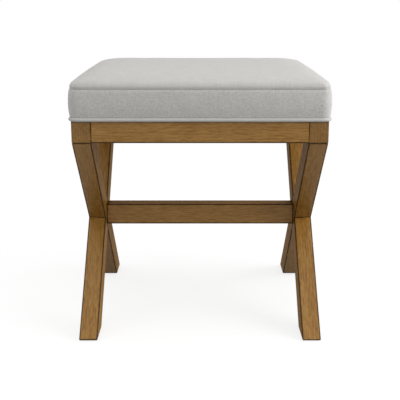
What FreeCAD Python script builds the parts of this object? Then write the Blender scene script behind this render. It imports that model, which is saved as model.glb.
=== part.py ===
import FreeCAD, Part
import math
import os

# Vanity stool: crossed legs in two side frames, a stretcher, a rail frame and a bolted box cushion.
# Millimetres. +Z is up, -Y is the front, and +X is to the right as seen from the front.
# The origin is on the floor, under the middle of the stool.

V = FreeCAD.Vector
RIGHT = V(1, 0, 0)
BACK = V(0, 1, 0)
UP = V(0, 0, 1)

# Wooden frame
frame_side = 460.0  # square footprint over the outer faces of the wood
stock_thick = 35.0  # legs, side rails and stretcher are planed from one stock
leg_height = 380.0  # from the foot's level cut to the side rail
foot_length = 68.0  # level cut of a leg, measured front to back
rail_height = 40.0
cross_rail_thick = 28.0  # front and rear rails
stretcher_height = 42.0
stretcher_rise = 2.3  # its middle sits this far above the middle of the crossing
edge_ease = 1.2  # small bevel on every wooden edge

# Glides under the feet
glide_height = 2.0
glide_radius = 12.0
glide_bevel = 0.5
pin_radius = 1.2
pin_length = 14.0

# Joints of the frame
dowel_radius = 4.0
dowel_depth = 20.0  # into each of the two pieces
lap_dowel_depth = 15.0  # stays inside the inner half of the lap
leg_dowel_spots = (174.0, 198.0)  # distance from the middle of the stool
rail_dowel_spread = 11.0  # above and below the rail's middle
stretcher_dowel_spread = 12.0
bolt_radius = 3.0
stretcher_bolt_length = 80.0
bolt_cap_radius = 7.5
bolt_cap_height = 2.0
hex_key = 4.0
barrel_radius = 5.0
barrel_length = 18.0
barrel_inset = 37.0  # from the stretcher's end

# Corner blocks
block_leg = 70.0
block_tip = 10.0
block_clip = 6.0
block_height = 25.0
block_drop = 2.5  # below the rails' top edges, so that the seat beds on the rails
block_bolt_inset = 30.0
screw_inset = 50.0
screw_radius = 2.0
screw_head_radius = 4.0
screw_head_height = 2.5
screw_tip = 4.0
screw_in_block = 16.0
screw_in_rail = 20.0
screw_play = 0.1  # added to the radius of each hole
head_play = 0.5
bolt_play = 0.3
washer_play = 0.2

# Seat board and its fixings
cloth = 1.0
board_side = 456.0
board_thick = 12.0
seat_bolt_length = 40.0
hex_head_across = 10.0
hex_head_height = 4.0
washer_radius = 9.0
washer_thick = 1.5
tee_barrel_radius = 4.0
tee_flange_radius = 9.5
tee_flange_thick = 1.4
tee_barrel_length = 8.6

# Box cushion, with heights counted from the top of the rails
seam_half = 232.6
seam_corner = 16.0  # the corners of the cushion's band turn about the centre of this rounding
band_foot = 7.4  # the band sits on the welt
band_lead = 0.7  # further out at its foot than at the seam
band_belly = 2.8  # swell between the foot and the seam
band_power = 2.4
band_steps = 8
side_bow = 2.1  # at the seam the sides swell outwards in plan, most in their middle
seam_height = 57.0
crown_height = 80.0
crown_reach = 53.0  # from the seam in to the flat middle of the top
crown_corner_growth = 40.0  # the corners open out as the top flattens
crown_side_power = 1.6
crown_rise_power = 3.07
crown_steps = 12
wadding_side = 6.0
wadding_top = 8.0
welt_half = 232.0
welt_level = 4.0
welt_radius = 3.5
filler_radius = 2.6

# Cloth edges and staples under the board
cut_corner = 10.0  # rounding of the cloth's cut edges
flange_inner_half = 177.0
dust_cover_thick = 0.4
dust_cover_half = 183.0
cover_staple_ring = 188.0
dust_staple_ring = 180.0
staple_wire = 0.6
staple_width = 10.0
staple_leg = 8.0
cover_staples_per_side = 7
dust_staples_per_side = 5
staple_run = 300.0  # length of each side's row of staples

# Levels worked out from the sizes above
half = frame_side / 2
corner_centre = seam_half - seam_corner
inner_x = half - stock_thick
inner_y = half - cross_rail_thick
foot_level = glide_height
leg_top = foot_level + leg_height
rail_top = leg_top + rail_height
rail_middle = leg_top + rail_height / 2
crossing_level = foot_level + leg_height / 2
block_top = rail_top - block_drop
block_bottom = block_top - block_height
board_bottom = rail_top + cloth
board_top = board_bottom + board_thick
board_half = board_side / 2
board_corner = board_half - corner_centre
band_level = rail_top + band_foot
seam_level = rail_top + seam_height
side_middle = half - stock_thick / 2
cross_rail_middle = half - cross_rail_thick / 2
leg_angle = math.atan2(leg_height, frame_side - foot_length)

pieces = {}


def span_box(x_span, y_span, z_span):
    """Box between two values on each axis."""
    low = V(min(x_span), min(y_span), min(z_span))
    high = V(max(x_span), max(y_span), max(z_span))
    return Part.makeBox(high.x - low.x, high.y - low.y, high.z - low.z, low)


def eased(solid):
    """The same solid with a small bevel on every edge."""
    return solid.makeChamfer(edge_ease, solid.Edges)


def prism(points, sweep):
    """Straight solid on a closed outline of points."""
    outline = Part.makePolygon(list(points) + [points[0]])
    return Part.Face(outline).extrude(sweep)


def rod(radius, start, direction, length):
    """Round bar from a start point."""
    return Part.makeCylinder(radius, length, start, direction)


def hexagon_bar(across_flats, start, direction, length):
    """Six-sided bar on an axis along X or Z."""
    sideways = BACK
    other = direction.cross(sideways)
    radius = across_flats / math.sqrt(3)
    corners = []
    for step in range(6):
        turn = math.radians(60 * step)
        corners.append(start + sideways * (radius * math.cos(turn)) + other * (radius * math.sin(turn)))
    return prism(corners, direction * length)


# Crossed legs
def leg_outline(lean):
    """Slanted outline of a leg. lean 1 goes from a front foot to the rear top, lean -1 the other way."""
    corners = (
        (-half, foot_level), (foot_length - half, foot_level),
        (half, leg_top), (half - foot_length, leg_top),
    )
    return [(lean * y, z) for y, z in corners]


def leg_prism(lean, x_span):
    """Leg of full width between two values of X."""
    points = [V(min(x_span), y, z) for y, z in leg_outline(lean)]
    return prism(points, RIGHT * (max(x_span) - min(x_span)))


def half_lapped_leg(side, lean):
    """Leg with its half of the lap cut away: a leg with a front foot keeps the outer half."""
    x_inner = side * inner_x
    x_outer = side * half
    body = eased(leg_prism(lean, (x_inner, x_outer)))
    x_cut = x_inner if lean > 0 else x_outer
    return body.cut(leg_prism(-lean, (x_cut, side * side_middle)))


# Dowels, pins and bolts, which are also the tools that drill their holes
def leg_top_dowel(side, lean, spot):
    start = V(side * side_middle, lean * spot, leg_top - dowel_depth)
    return rod(dowel_radius, start, UP, 2 * dowel_depth)


def rail_dowel(side, end, rise):
    start = V(side * (inner_x - dowel_depth), end * cross_rail_middle, rail_middle + rise)
    return rod(dowel_radius, start, RIGHT * side, 2 * dowel_depth)


def stretcher_dowel(side, rise):
    start = V(side * (inner_x - dowel_depth), 0, crossing_level + rise)
    return rod(dowel_radius, start, RIGHT * side, dowel_depth + lap_dowel_depth)


def glide_pin(side, end):
    spot = V(side * side_middle, end * (half - foot_length / 2), glide_height / 2)
    return rod(pin_radius, spot, UP, pin_length)


def foot_glide(side, end):
    spot = V(side * side_middle, end * (half - foot_length / 2), 0)
    disc = rod(glide_radius, spot, UP, glide_height)
    rim = [edge for edge in disc.Edges if edge.BoundBox.ZMax < glide_height / 2]
    return disc.makeChamfer(glide_bevel, rim).cut(glide_pin(side, end))


def stretcher_bolt_shank(side):
    start = V(side * half, 0, crossing_level)
    return rod(bolt_radius, start, RIGHT * -side, stretcher_bolt_length)


def stretcher_bolt(side):
    """Flat-capped bolt through the crossing, with a hexagonal key recess."""
    start = V(side * half, 0, crossing_level)
    cap = rod(bolt_cap_radius, start, RIGHT * side, bolt_cap_height)
    recess_start = start - RIGHT * (side * bolt_cap_height)
    recess = hexagon_bar(hex_key, recess_start, RIGHT * side, 3 * bolt_cap_height)
    return cap.fuse(stretcher_bolt_shank(side)).cut(recess).removeSplitter()


def barrel_nut_hole(side):
    low = V(side * (inner_x - barrel_inset), 0, crossing_level - stretcher_height)
    return rod(barrel_radius, low, UP, stretcher_height + barrel_length / 2)


def barrel_nut(side):
    low = V(side * (inner_x - barrel_inset), 0, crossing_level - barrel_length / 2)
    return rod(barrel_radius, low, UP, barrel_length).cut(stretcher_bolt_shank(side))


# Corner blocks and their screws
def from_corner(side, end, x_in, y_in, z):
    """Point measured inwards from an inside corner of the rail frame."""
    return V(side * (inner_x - x_in), end * (inner_y - y_in), z)


def screw_seats(side, end):
    """Head seat and driving direction of a corner's two screws, one into each rail."""
    level = block_bottom + block_height / 2
    return (
        (from_corner(side, end, screw_in_block, screw_inset, level), RIGHT * side),
        (from_corner(side, end, screw_inset, screw_in_block, level), BACK * end),
    )


def block_screws(side, end):
    """A corner's two screws, with flat heads and pointed tips."""
    shank_length = screw_in_block + screw_in_rail - screw_tip
    screws = []
    for seat, drive in screw_seats(side, end):
        head = rod(screw_head_radius, seat - drive * screw_head_height, drive, screw_head_height)
        shank = rod(screw_radius, seat, drive, shank_length)
        tip = Part.makeCone(screw_radius, 0, screw_tip, seat + drive * shank_length, drive)
        screws.append(head.fuse([shank, tip]).removeSplitter())
    return screws


def block_screw_holes(side, end):
    """Pilot holes, with a counterbore that opens through the block's slanted face."""
    holes = []
    for seat, drive in screw_seats(side, end):
        holes.append(rod(screw_radius + screw_play, seat, drive, screw_in_block + screw_in_rail))
        holes.append(rod(screw_head_radius + head_play, seat, drive * -1, block_leg))
    return holes


def bolt_axis(side, end, z):
    """Point on the axis of a seat bolt."""
    return from_corner(side, end, block_bolt_inset, block_bolt_inset, z)


def seat_bolt_hole(side, end):
    return rod(bolt_radius + bolt_play, bolt_axis(side, end, block_bottom), UP, board_top - block_bottom)


def corner_block(side, end):
    """Triangular block with squared tips and a clipped inner corner."""
    outline = (
        (block_clip, 0), (block_leg, 0), (block_leg, block_tip),
        (block_tip, block_leg), (0, block_leg), (0, block_clip),
    )
    points = [from_corner(side, end, x_in, y_in, block_bottom) for x_in, y_in in outline]
    block = prism(points, UP * block_height)
    return block.cut([seat_bolt_hole(side, end)] + block_screw_holes(side, end))


# Seat fixings
def seat_bolt(side, end):
    """Hexagon-headed bolt driven up through a corner block."""
    seat = bolt_axis(side, end, block_bottom - washer_thick)
    head = hexagon_bar(hex_head_across, seat - UP * hex_head_height, UP, hex_head_height)
    shank = rod(bolt_radius, seat, UP, seat_bolt_length)
    return head.fuse(shank).removeSplitter()


def seat_bolt_washer(side, end):
    low = bolt_axis(side, end, block_bottom - washer_thick)
    ring = rod(washer_radius, low, UP, washer_thick)
    return ring.cut(rod(bolt_radius + washer_play, low, UP, washer_thick))


def tee_nut_body(side, end):
    """Threaded barrel under a round flange that is let into the top of the board."""
    top = bolt_axis(side, end, board_top)
    flange = rod(tee_flange_radius, top, UP * -1, tee_flange_thick)
    barrel = rod(tee_barrel_radius, top, UP * -1, tee_flange_thick + tee_barrel_length)
    return flange.fuse(barrel).removeSplitter()


def tee_nut(side, end):
    top = bolt_axis(side, end, board_top)
    bore = rod(bolt_radius + screw_play, top, UP * -1, board_thick)
    return tee_nut_body(side, end).cut(bore)


# Cushion
def rounded_square(half_width, corner, z, bow=0.0):
    """Closed outline of four quarter arcs and four sides, straight or bowed outwards in their middle."""
    straight = half_width - corner
    lean = corner * math.sqrt(0.5)
    edges = []
    for quarter in range(4):
        turn = FreeCAD.Rotation(UP, 90 * quarter)
        start = turn.multVec(V(half_width, -straight, 0)) + UP * z
        stop = turn.multVec(V(half_width, straight, 0)) + UP * z
        middle = turn.multVec(V(straight + lean, straight + lean, 0)) + UP * z
        turned = turn.multVec(V(straight, half_width, 0)) + UP * z
        if bow > 0.001:
            furthest = turn.multVec(V(half_width + bow, 0, 0)) + UP * z
            edges.append(Part.Arc(start, furthest, stop).toShape())
        else:
            edges.append(Part.LineSegment(start, stop).toShape())
        edges.append(Part.Arc(stop, middle, turned).toShape())
    return Part.Wire(edges)


def plate(half_width, corner, z_low, z_high):
    """Flat plate with rounded corners."""
    return Part.Face(rounded_square(half_width, corner, z_low)).extrude(UP * (z_high - z_low))


def band_form(inset):
    """Sides of the cushion, drawn in at the welt and the seam, with a skin's inset taken off.

    The half width is the seam's, plus a lead that fades from the foot to the seam, plus a belly
    times one less the power of the distance from the middle of the height. The bow of the sides grows
    in step with the height.
    """
    outlines = []
    for step in range(band_steps + 1):
        share = step / band_steps
        belly = band_belly * (1 - abs(2 * share - 1) ** band_power)
        reach = seam_half + band_lead * (1 - share) + belly - inset
        height = band_foot + (seam_height - band_foot) * share
        outlines.append(rounded_square(reach, reach - corner_centre, rail_top + height, side_bow * share))
    return Part.makeLoft(outlines, True)


def crown_form(inset, top_inset):
    """Rolled edge and crowned top above the seam, with the insets taken off.

    In section it is a quarter of a squared-off ellipse: steep at the seam, level at the middle. The bow
    of the sides dies out as the section turns level.
    """
    rise = crown_height - seam_height - top_inset
    outlines = []
    for step in range(crown_steps + 1):
        turn = math.pi / 2 * step / crown_steps
        inward = 1 - max(math.cos(turn), 0) ** (2 / crown_side_power)
        upward = math.sin(turn) ** (2 / crown_rise_power)
        corner = seam_corner + crown_corner_growth * inward - inset
        half_width = seam_half - crown_reach * inward - inset
        bow = side_bow * max(math.cos(turn), 0)
        outlines.append(rounded_square(half_width, corner, seam_level + rise * upward, bow))
    return Part.makeLoft(outlines, True, True)


def cushion_form(inset, top_inset, z_low):
    """Whole inside of the cushion above a level."""
    above = span_box((-frame_side, frame_side), (-frame_side, frame_side), (z_low, rail_top + crown_height))
    return band_form(inset).common(above).fuse(crown_form(inset, top_inset)).removeSplitter()


def welt_ring(radius):
    """Round cord that follows the cushion's lower edge."""
    level = rail_top + welt_level
    corner = welt_half - corner_centre
    ring = []
    for quarter in range(4):
        turn = FreeCAD.Rotation(UP, 90 * quarter)
        start = turn.multVec(V(welt_half, -corner_centre, 0)) + UP * level
        along = turn.multVec(BACK)
        ring.append(rod(radius, start, along, 2 * corner_centre))
        bend = Part.makeTorus(corner, radius, V(0, 0, 0), UP, 0, 360, 90)
        bend.rotate(V(0, 0, 0), UP, 90 * quarter)
        bend.translate(turn.multVec(V(corner_centre, corner_centre, 0)) + UP * level)
        ring.append(bend)
    return ring[0].fuse(ring[1:]).removeSplitter()


def boxing_band():
    """Band of cloth that stands on the welt, tucks in behind it and turns under the board."""
    outer = plate(board_half + cloth, board_corner + cloth, rail_top, band_level)
    outer = outer.fuse(band_form(0))
    hollow = cushion_form(cloth, cloth, band_level + cloth)
    hollow = hollow.fuse(plate(board_half, board_corner, board_bottom, band_level + cloth))
    opening = plate(flange_inner_half, cut_corner, rail_top - cloth, board_top)
    return outer.cut([hollow, opening, welt_ring(welt_radius)]).removeSplitter()


# Staples
def staple(middle, along, ring_level):
    """Wire staple with its crown under the cloth and two legs up into the board."""
    across = along.cross(UP)
    corner = middle - along * (staple_width / 2) - across * (staple_wire / 2)
    lift = UP * (ring_level - staple_wire)
    outline = [corner, corner + along * staple_width]
    outline += [outline[1] + across * staple_wire, corner + across * staple_wire]
    crown = prism([point + lift for point in outline], UP * staple_wire)
    legs = []
    for shift in (0, staple_width - staple_wire):
        foot = [corner + along * shift, corner + along * (shift + staple_wire)]
        foot += [foot[1] + across * staple_wire, foot[0] + across * staple_wire]
        legs.append(prism([point + lift for point in foot], UP * (staple_wire + staple_leg)))
    return crown.fuse(legs).removeSplitter()


def staple_row(ring, count, ring_level):
    """Staples along the four sides of a square, evenly spaced on each side."""
    row = []
    for quarter in range(4):
        turn = FreeCAD.Rotation(UP, 90 * quarter)
        along = turn.multVec(BACK)
        for step in range(count):
            shift = staple_run * (step / (count - 1) - 0.5)
            middle = turn.multVec(V(ring, shift, 0))
            row.append(staple(middle, along, ring_level))
    return row


# Names of the sides and ends
SIDES = (("left", -1), ("right", 1))
ENDS = (("front", -1), ("rear", 1))
CORNERS = [
    (f"{end_name}_{side_name}", side, end) for end_name, end in ENDS for side_name, side in SIDES
]

# Fixings of the frame
leg_dowels = {
    (side, lean): [leg_top_dowel(side, lean, spot) for spot in leg_dowel_spots]
    for _, side in SIDES for lean in (1, -1)
}
rail_dowels = {
    (side, end): [rail_dowel(side, end, rise) for rise in (-rail_dowel_spread, rail_dowel_spread)]
    for _, side in SIDES for _, end in ENDS
}
stretcher_dowels = {
    side: [stretcher_dowel(side, rise) for rise in (-stretcher_dowel_spread, stretcher_dowel_spread)]
    for _, side in SIDES
}
screw_holes = [hole for _, side, end in CORNERS for hole in block_screw_holes(side, end)]
bolt_shanks = [stretcher_bolt_shank(side) for _, side in SIDES]

# Legs
for side_name, side in SIDES:
    for foot_name, lean in (("front_foot", 1), ("rear_foot", -1)):
        tools = leg_dowels[side, lean] + stretcher_dowels[side] + [stretcher_bolt_shank(side)]
        tools.append(glide_pin(side, -lean))
        leg = half_lapped_leg(side, lean).cut(tools)
        pieces[f"{side_name}_leg_{foot_name}"] = leg

# Rails
for side_name, side in SIDES:
    rail = eased(span_box((side * inner_x, side * half), (-half, half), (leg_top, rail_top)))
    tools = leg_dowels[side, 1] + leg_dowels[side, -1] + rail_dowels[side, 1] + rail_dowels[side, -1]
    pieces[f"{side_name}_side_rail"] = rail.cut(tools + screw_holes)
for end_name, end in ENDS:
    rail = eased(span_box((-inner_x, inner_x), (end * inner_y, end * half), (leg_top, rail_top)))
    tools = rail_dowels[1, end] + rail_dowels[-1, end]
    pieces[f"{end_name}_rail"] = rail.cut(tools + screw_holes)

# Stretcher
stretcher_low = crossing_level + stretcher_rise - stretcher_height / 2
stretcher = eased(span_box(
    (-inner_x, inner_x), (-stock_thick / 2, stock_thick / 2),
    (stretcher_low, stretcher_low + stretcher_height),
))
barrel_holes = [barrel_nut_hole(side) for _, side in SIDES]
pieces["stretcher"] = stretcher.cut(stretcher_dowels[1] + stretcher_dowels[-1] + bolt_shanks + barrel_holes)

# Corner blocks and glides
for corner_name, side, end in CORNERS:
    pieces[f"corner_block_{corner_name}"] = corner_block(side, end)
    pieces[f"foot_glide_{corner_name}"] = foot_glide(side, end)

# Small fixings, each kind in one group
groups = {
    "glide_pins": [glide_pin(side, end) for _, side, end in CORNERS],
    "leg_top_dowels": sum(leg_dowels.values(), []),
    "rail_dowels": sum(rail_dowels.values(), []),
    "stretcher_dowels": sum(stretcher_dowels.values(), []),
    "stretcher_bolts": [stretcher_bolt(side) for _, side in SIDES],
    "stretcher_barrel_nuts": [barrel_nut(side) for _, side in SIDES],
    "corner_block_screws": [screw for _, side, end in CORNERS for screw in block_screws(side, end)],
    "seat_bolts": [seat_bolt(side, end) for _, side, end in CORNERS],
    "seat_bolt_washers": [seat_bolt_washer(side, end) for _, side, end in CORNERS],
    "seat_tee_nuts": [tee_nut(side, end) for _, side, end in CORNERS],
    "cover_staples": staple_row(cover_staple_ring, cover_staples_per_side, rail_top),
    "dust_cover_staples": staple_row(dust_staple_ring, dust_staples_per_side, rail_top - dust_cover_thick),
}
for name, solids in groups.items():
    pieces[name] = Part.makeCompound(solids)
staples = groups["cover_staples"] + groups["dust_cover_staples"]

# Seat board, drilled for the tee nuts
blank_board = plate(board_half, board_corner, board_bottom, board_top)
board_tools = [tee_nut_body(side, end) for _, side, end in CORNERS]
board_tools += [seat_bolt_hole(side, end) for _, side, end in CORNERS]
pieces["seat_board"] = blank_board.cut(board_tools).cut(staples)

# Padding and cover
foam = cushion_form(cloth + wadding_side, cloth + wadding_top, board_top)
inside_of_cover = cushion_form(cloth, cloth, band_level + cloth)
pieces["foam_pad"] = foam
pieces["wadding"] = inside_of_cover.cut([foam, blank_board])
pieces["cover_top_panel"] = crown_form(0, 0).cut(crown_form(cloth, cloth))
pieces["cover_boxing_band"] = boxing_band().cut(staples)
pieces["welt_piping"] = welt_ring(welt_radius).cut(welt_ring(filler_radius))
pieces["welt_filler_cord"] = welt_ring(filler_radius)

# Dust cover, with a hole for each seat bolt
dust_cover = plate(dust_cover_half, cut_corner, rail_top - dust_cover_thick, rail_top)
bolt_gaps = [
    rod(bolt_radius + cloth, bolt_axis(side, end, block_top), UP, board_top - block_top)
    for _, side, end in CORNERS
]
pieces["dust_cover"] = dust_cover.cut(bolt_gaps + staples)

os.makedirs("parts", exist_ok=True)
for name, shape in pieces.items():
    if not shape.isValid():
        print("not valid:", name)
    shape.exportStep(f"parts/{name}.step")
whole = Part.makeCompound(list(pieces.values())).optimalBoundingBox(False)
print(f"{len(pieces)} pieces, {whole.XLength:.1f} x {whole.YLength:.1f} x {whole.ZLength:.1f} mm")
print(f"leg width {foot_length * math.sin(leg_angle):.1f} mm, slant {math.degrees(leg_angle):.1f} degrees")
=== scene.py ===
# %% [markdown]
# # Vanity stool with crossed legs
# A stool for a dressing table. Two pairs of slanted wooden legs cross in half laps, a stretcher holds the two
# crossings apart, four rails make the seat frame, and a box cushion with a piped lower edge is bolted on top.
# The construction model's wood and metal only get their finish here. The cushion's cloth, padding and piping
# are made here, because a solid model can't show how cloth lies.

# %% Load the construction model
import math

import bpy
import numpy as np
from mathutils import Matrix, Vector


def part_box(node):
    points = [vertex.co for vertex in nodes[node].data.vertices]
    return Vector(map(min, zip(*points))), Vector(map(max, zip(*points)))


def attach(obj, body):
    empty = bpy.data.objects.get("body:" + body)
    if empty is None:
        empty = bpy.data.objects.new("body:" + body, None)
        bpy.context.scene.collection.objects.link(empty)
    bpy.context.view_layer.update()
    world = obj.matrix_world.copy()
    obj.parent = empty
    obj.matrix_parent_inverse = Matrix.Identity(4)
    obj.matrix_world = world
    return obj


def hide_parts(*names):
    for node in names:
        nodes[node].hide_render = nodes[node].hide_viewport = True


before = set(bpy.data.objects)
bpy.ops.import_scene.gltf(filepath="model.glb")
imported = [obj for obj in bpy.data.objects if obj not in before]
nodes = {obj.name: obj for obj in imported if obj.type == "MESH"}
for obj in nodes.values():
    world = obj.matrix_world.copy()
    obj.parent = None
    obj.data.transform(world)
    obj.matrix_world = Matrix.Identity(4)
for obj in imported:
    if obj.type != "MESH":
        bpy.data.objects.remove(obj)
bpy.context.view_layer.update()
scene = bpy.context.scene
print("nodes in the construction model:", len(nodes))


def show(name, data):
    """A new object in the scene with the given data."""
    holder = bpy.data.objects.new(name, data)
    scene.collection.objects.link(holder)
    return holder


# %% [markdown]
# ## Camera
# The camera stands where the photographer's did: a little above the cushion, looking straight at the front and
# down by 14 degrees. It could be placed by eye, but its place and lens were worked out from the corners of the
# wooden frame, which is square in plan, so that the outlines match the photograph's.

# %% Camera
camera_pitch = 13.97
camera_lens = bpy.data.cameras.new("studio_camera")
camera_lens.lens = 75.17
camera_lens.sensor_width = 36.0
camera = show("studio_camera", camera_lens)
camera.location = (0.0, -1.7054, 0.6444)
camera.rotation_euler = (math.radians(90 - camera_pitch), 0.0, 0.0)
scene.camera = camera
scene.view_settings.view_transform = "Standard"
print("camera lens:", camera_lens.lens, "mm")

# %% [markdown]
# ## Building node trees by hand
# Materials are trees of nodes. Each node could take a screenful of lines, but one small helper that adds a
# node, sets it up, feeds its inputs and hands back an output keeps the recipes short. A feed is a plain value
# or the output of another node.

# %% Node helpers
def feed_inputs(tree, made, feeds):
    """Gives each input its plain value, or links it to the output of another node."""
    for socket, feed in feeds.items():
        if isinstance(feed, bpy.types.NodeSocket):
            tree.links.new(feed, made.inputs[socket])
        else:
            made.inputs[socket].default_value = feed


def node(tree, kind, settings=None, feeds=None, out=0):
    """Adds a node with its settings and feeds, and returns the output that the next node takes."""
    made = tree.nodes.new("ShaderNode" + kind)
    for name, value in (settings or {}).items():
        setattr(made, name, value)
    feed_inputs(tree, made, feeds or {})
    return made.outputs[out]


def calculate(tree, operation, *terms):
    """One sum of up to three numbers."""
    return node(tree, "Math", {"operation": operation}, dict(enumerate(terms)))


def remap(tree, value, from_low, from_high, to_low=0.0, to_high=1.0):
    """A smooth step from one range to another, level outside the range."""
    feeds = {0: value, 1: from_low, 2: from_high, 3: to_low, 4: to_high}
    return node(tree, "MapRange", {"interpolation_type": "SMOOTHSTEP"}, feeds)


def blend_colours(tree, share, first, second, blend="MIX"):
    """Two colours mixed by a share, or multiplied."""
    settings = {"data_type": "RGBA", "blend_type": blend}
    return node(tree, "Mix", settings, {0: share, 6: first, 7: second}, 2)


def cloudiness(tree, place, scales, seed=0.0, detail=2.0, roughness=0.5):
    """Soft noise about a middle of one half. The scales are its bumps to the metre along each axis."""
    scaled = node(tree, "VectorMath", {"operation": "MULTIPLY"}, {0: place, 1: scales})
    feeds = {"Vector": scaled, "W": seed, "Scale": 1.0, "Detail": detail, "Roughness": roughness}
    return node(tree, "TexNoise", {"noise_dimensions": "4D"}, feeds)


def vary(tree, tone, clouds, strength):
    """A value raised and lowered by how far a noise lies from its middle of one half."""
    return calculate(tree, "MULTIPLY_ADD", calculate(tree, "SUBTRACT", clouds, 0.5), strength, tone)


def new_group(name, inputs, outputs):
    """An empty shader node group, whose inputs and outputs are given as titles with their kinds."""
    group = bpy.data.node_groups.new(name, "ShaderNodeTree")
    for direction, sockets in (("INPUT", inputs), ("OUTPUT", outputs)):
        for title, kind in sockets.items():
            group.interface.new_socket(title, in_out=direction, socket_type="NodeSocket" + kind)
    return group, group.nodes.new("NodeGroupInput").outputs, group.nodes.new("NodeGroupOutput").inputs


def place_group(tree, group, feeds):
    """Puts a group into a material with its own values, and returns its outputs."""
    made = tree.nodes.new("ShaderNodeGroup")
    made.node_tree = group
    feed_inputs(tree, made, feeds)
    return made.outputs


def new_material(name, coordinates="Object", **surface):
    """A material with one Principled surface and its plain values: itself, its tree, inputs and coordinates."""
    material = bpy.data.materials.new(name)
    material.use_nodes = True
    shader = material.node_tree.nodes["Principled BSDF"]
    for socket, value in surface.items():
        shader.inputs[socket.replace("_", " ")].default_value = value
    tree = material.node_tree
    return material, tree, shader.inputs, node(tree, "TexCoord", out=coordinates)


def add_bump(tree, surface, height, strength, depth):
    """Tilts the surface's shading by a height, whose full range is the depth in metres."""
    bump = node(tree, "Bump", None, {"Strength": strength, "Distance": depth, "Height": height})
    tree.links.new(bump, surface["Normal"])


def dress(material, *names):
    """Gives a material to every slot of the named pieces of the construction model."""
    for name in names:
        for holder in nodes[name].material_slots:
            holder.material = material
    print(material.name, "on", ", ".join(names))


# %% [markdown]
# ## Studio
# The photograph was taken in plain soft light with a large source at the right: the sides that face right are
# about twice as bright as those that face left, and the top is brighter than the front. A broad lamp at the
# right, a weaker one overhead, another at the left and a pale surrounding give that. The floor is a pale disc
# that takes the stool's soft shadow and fades out into a white background, so no horizon shows from any side.

# %% Lamps and surrounding
lamp_width = 1.6
# Each lamp is flat and square and points from its place to its aim. The last number is its power in watts.
lamps = (
    ("key_lamp", (2.05, -0.60, 1.10), (0.0, 0.0, 0.30), 36.0),
    ("top_lamp", (0.0, -0.15, 2.1), (0.0, 0.0, 0.4), 7.2),
    ("fill_lamp", (-2.05, -0.55, 1.30), (0.0, 0.0, 0.45), 6.5),
)
surround_level = 0.54
surround_tint = (0.99, 0.995, 1.0, 1.0)


def seen_directly(tree):
    """One for rays that show the background itself: from the camera, a reflection or through glass."""
    path = tree.nodes.new("ShaderNodeLightPath").outputs
    reflected = calculate(tree, "MAXIMUM", path["Is Glossy Ray"], path["Is Transmission Ray"])
    return calculate(tree, "MAXIMUM", path["Is Camera Ray"], reflected)


def empty_tree(owner):
    """The node tree of a material or a world, with nothing in it."""
    owner.use_nodes = True
    owner.node_tree.nodes.clear()
    return owner.node_tree


for name, place, aim, power in lamps:
    lamp = bpy.data.lights.new(name, "AREA")
    lamp.size = lamp_width
    lamp.energy = power
    holder = show(name, lamp)
    holder.location = place
    holder.rotation_euler = (Vector(aim) - Vector(place)).to_track_quat("-Z", "Y").to_euler()
    print(name, power, "W")
scene.world = bpy.data.worlds.new("studio")
sky = empty_tree(scene.world)
ambient = node(sky, "Background", None, {"Color": surround_tint, "Strength": surround_level})
white = node(sky, "Background", None, {"Color": (1.0, 1.0, 1.0, 1.0), "Strength": 1.0})
surround = node(sky, "MixShader", None, {0: seen_directly(sky), 1: ambient, 2: white})
sky_out = sky.nodes.new("ShaderNodeOutputWorld")
sky.links.new(surround, sky_out.inputs["Surface"])
print("surround:", surround_level)

# %% Floor
floor_radius = 1.6
floor_sides = 96
floor_paint = (0.27, 0.27, 0.27, 1.0)
floor_glow = 0.80
fade_from, fade_to = 0.75, 1.5
floor_turn = np.linspace(0, 2 * math.pi, floor_sides, endpoint=False)
floor_points = np.stack([np.cos(floor_turn), np.sin(floor_turn), 0 * floor_turn], axis=1) * floor_radius
floor_mesh = bpy.data.meshes.new("floor")
floor_mesh.from_pydata(floor_points.tolist(), [], [list(range(floor_sides))])
floor = show("floor", floor_mesh)

floor_finish = bpy.data.materials.new("pale_floor")
tree = empty_tree(floor_finish)
spot = node(tree, "TexCoord", out="Object")
from_middle = node(tree, "VectorMath", {"operation": "LENGTH"}, {0: spot}, "Value")
paint = node(tree, "BsdfDiffuse", None, {"Color": floor_paint})
glow = node(tree, "Emission", None, {"Strength": calculate(tree, "MULTIPLY", seen_directly(tree), floor_glow)})
lit = node(tree, "AddShader", None, {0: paint, 1: glow})
clear = node(tree, "BsdfTransparent")
faded = node(tree, "MixShader", None, {0: remap(tree, from_middle, fade_from, fade_to), 1: lit, 2: clear})
floor_out = tree.nodes.new("ShaderNodeOutputMaterial")
tree.links.new(faded, floor_out.inputs["Surface"])
floor_mesh.materials.append(floor_finish)
print("floor disc:", 2 * floor_radius, "m across")

# %% [markdown]
# ## Wood finish
# The frame is planed hardwood with a warm medium-brown stain under satin lacquer. Close up it has short fine
# streaks along each board, a broad slow figure, tiny dark pores, and growth rings that show as lines along a
# face and as upright lines on a cut end. One flat noise could stand in for it, but a pattern in three
# dimensions on the board's own axes runs over the edges and the cut ends as real wood does. The stain also
# collects along every edge and joint, and these thin dark lines give the stool its drawn look. Both effects are
# groups, so that every board uses the same recipe.

# %% Grain group
streak_strength = 2.2
fine_strength = 1.7
figure_strength = 0.6
rings_to_the_metre = 210.0
ring_wander = 0.03
ring_bend = 4.0
ring_strength = 0.10
pore_strength = 0.35
pore_colour = (0.09, 0.045, 0.02, 1.0)
grain, given, give = new_group(
    "long_grain",
    {"Place": "Vector", "Seed": "Float", "Pale": "Color", "Deep": "Color"},
    {"Color": "Color", "Height": "Float", "Roughness": "Float"},
)
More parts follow.
